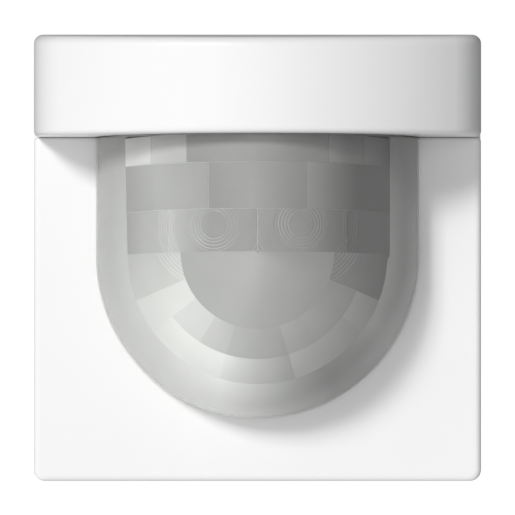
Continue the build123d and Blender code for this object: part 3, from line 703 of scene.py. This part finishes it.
def dress_everything(lens_plastic):
    """A material for every CAD node."""
    tinned = metal("tinned_wire", (0.72, 0.72, 0.70), 0.3)
    zinc = metal("screw_steel", (0.60, 0.60, 0.57), 0.34)
    sides = ("left", "right")
    dress(cover_plastic(), "front_cover", "hood")
    dress(black_plastic(), "lens_retainer", "sensor_holder", "light_sensor_sleeve")
    dress(housing_plastic(), "rear_housing")
    dress(moulded("plug_plastic", (0.035, 0.035, 0.037), 0.4, mottle=0.1), "plug_body")
    dress(board_mask(), "main_board")
    dress(zinc, "retainer_screws", "holder_screws", "housing_screws")
    spring = metal("spring_steel", (0.62, 0.63, 0.64), 0.22, (1.0, 0.05, 1.0))
    dress(spring, *[f"retaining_spring_{s}" for s in sides])
    can = metal("can_metal", (0.70, 0.68, 0.62), 0.18)
    dress(can, *[f"pir_can_{s}" for s in sides])
    dress(can, *[f"pir_base_{s}" for s in sides])
    dress(filter_glass(), *[f"pir_window_{s}" for s in sides])
    dress(ceramic(), *[f"pir_element_{s}" for s in sides])
    dress(tinned, "led_leads", "trimmer_pins", "mode_switch_pins", "capacitor_leads", "chip_pins")
    dress(tinned, *[f"pir_leads_{s}" for s in sides])
    dress(metal("pin_brass", (0.78, 0.62, 0.30), 0.24, (1.0, 0.1, 1.0)), "plug_pins")
    dress(epoxy("red_epoxy", (0.50, 0.02, 0.015), 0.9), "status_led")
    dress(epoxy("clear_epoxy", (0.85, 0.87, 0.90), 0.45), "light_sensor")
    dress(trimmer_plastic(), "brightness_trimmer", "delay_trimmer", "range_trimmer")
    dress(dial_plastic(), "brightness_dial", "delay_dial", "range_dial", "mode_slider")
    dress(metal("switch_metal", (0.66, 0.66, 0.64), 0.28), "mode_switch_body", "crystal")
    dress(chip_plastic(), "microcontroller", "amplifier_chip", "smd_resistors")
    dress(capacitor_film(), "storage_capacitor")
    dress(smd_ceramic(), "smd_capacitors")
    dress(lens_plastic, "lens")


# ---- stage ----
def add_camera():
    """Straight in front of the plate's centre."""
    data = bpy.data.cameras.new("camera")
    data.sensor_width = SENSOR_WIDTH
    data.lens = SENSOR_WIDTH * CAMERA_DISTANCE / FRAME_WIDTH
    data.clip_start = 0.01
    data.clip_end = 20.0
    camera = bpy.data.objects.new("camera", data)
    camera.location = (0.0, PLATE_Y - CAMERA_DISTANCE, 0.0)
    camera.rotation_euler = (math.radians(90), 0.0, 0.0)
    bpy.context.scene.collection.objects.link(camera)
    bpy.context.scene.camera = camera


def add_softbox(name, direction, distance, size, power):
    """A square area light that faces the lens from a direction."""
    data = bpy.data.lights.new(name, "AREA")
    data.size = size
    data.energy = power
    light = bpy.data.objects.new(name, data)
    towards = Vector(direction).normalized()
    light.location = LENS_CENTRE + towards * distance
    light.rotation_euler = towards.to_track_quat("Z", "Y").to_euler()
    bpy.context.scene.collection.objects.link(light)


def add_world():
    """A white surround. It lights the object less than it shows, most from the front and below."""
    world = bpy.data.worlds.new("studio")
    world.use_nodes = True
    tree = world.node_tree
    tree.nodes.clear()
    seen = tree.nodes.new("ShaderNodeBackground")
    seen.inputs["Color"].default_value = (1.0, 1.0, 1.0, 1.0)
    seen.inputs["Strength"].default_value = SHOWN
    direction = tree.nodes.new("ShaderNodeTexCoord")
    lean = tree.nodes.new("ShaderNodeVectorMath")
    lean.operation = "DOT_PRODUCT"
    lean.inputs[1].default_value = FILL_LEAN
    total = tree.nodes.new("ShaderNodeMath")
    total.operation = "ADD"
    total.inputs[1].default_value = FILL
    fill = tree.nodes.new("ShaderNodeBackground")
    fill.inputs["Color"].default_value = (0.985, 0.99, 1.0, 1.0)
    path = tree.nodes.new("ShaderNodeLightPath")
    mix = tree.nodes.new("ShaderNodeMixShader")
    output = tree.nodes.new("ShaderNodeOutputWorld")
    tree.links.new(direction.outputs["Generated"], lean.inputs[0])
    tree.links.new(lean.outputs["Value"], total.inputs[0])
    tree.links.new(total.outputs["Value"], fill.inputs["Strength"])
    tree.links.new(path.outputs["Is Camera Ray"], mix.inputs["Fac"])
    tree.links.new(fill.outputs["Background"], mix.inputs[1])
    tree.links.new(seen.outputs["Background"], mix.inputs[2])
    tree.links.new(mix.outputs["Shader"], output.inputs["Surface"])
    bpy.context.scene.world = world


def add_floor():
    """A plain pale floor far below the object, lower than the softbox that lights it from below."""
    bm = bmesh.new()
    bmesh.ops.create_grid(bm, x_segments=1, y_segments=1, size=FLOOR_HALF)
    floor = finish_mesh(bm, "floor", moulded("floor_paint", (0.86, 0.86, 0.85), 0.6, grain=120.0))
    floor.location.z = FLOOR_Z


def set_colours():
    """Colours shown as they are, without a film curve."""
    scene = bpy.context.scene
    scene.view_settings.view_transform = "Standard"
    scene.view_settings.look = "None"
    scene.cycles.use_denoising = True


def main():
    """Camera, light, lens pieces and materials."""
    add_camera()
    add_world()
    for softbox in SOFTBOXES:
        add_softbox(*softbox)
    add_floor()
    set_colours()
    lens_plastic = facet_plastic()
    dress_everything(lens_plastic)
    skin = lens_skin()
    facets = lens_facets(lens_plastic)
    web = lens_web()
    margin = lens_margin(lens_plastic)
    for piece in (skin, facets, web, margin):
        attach(piece, "sensor")
    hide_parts("lens")


main()
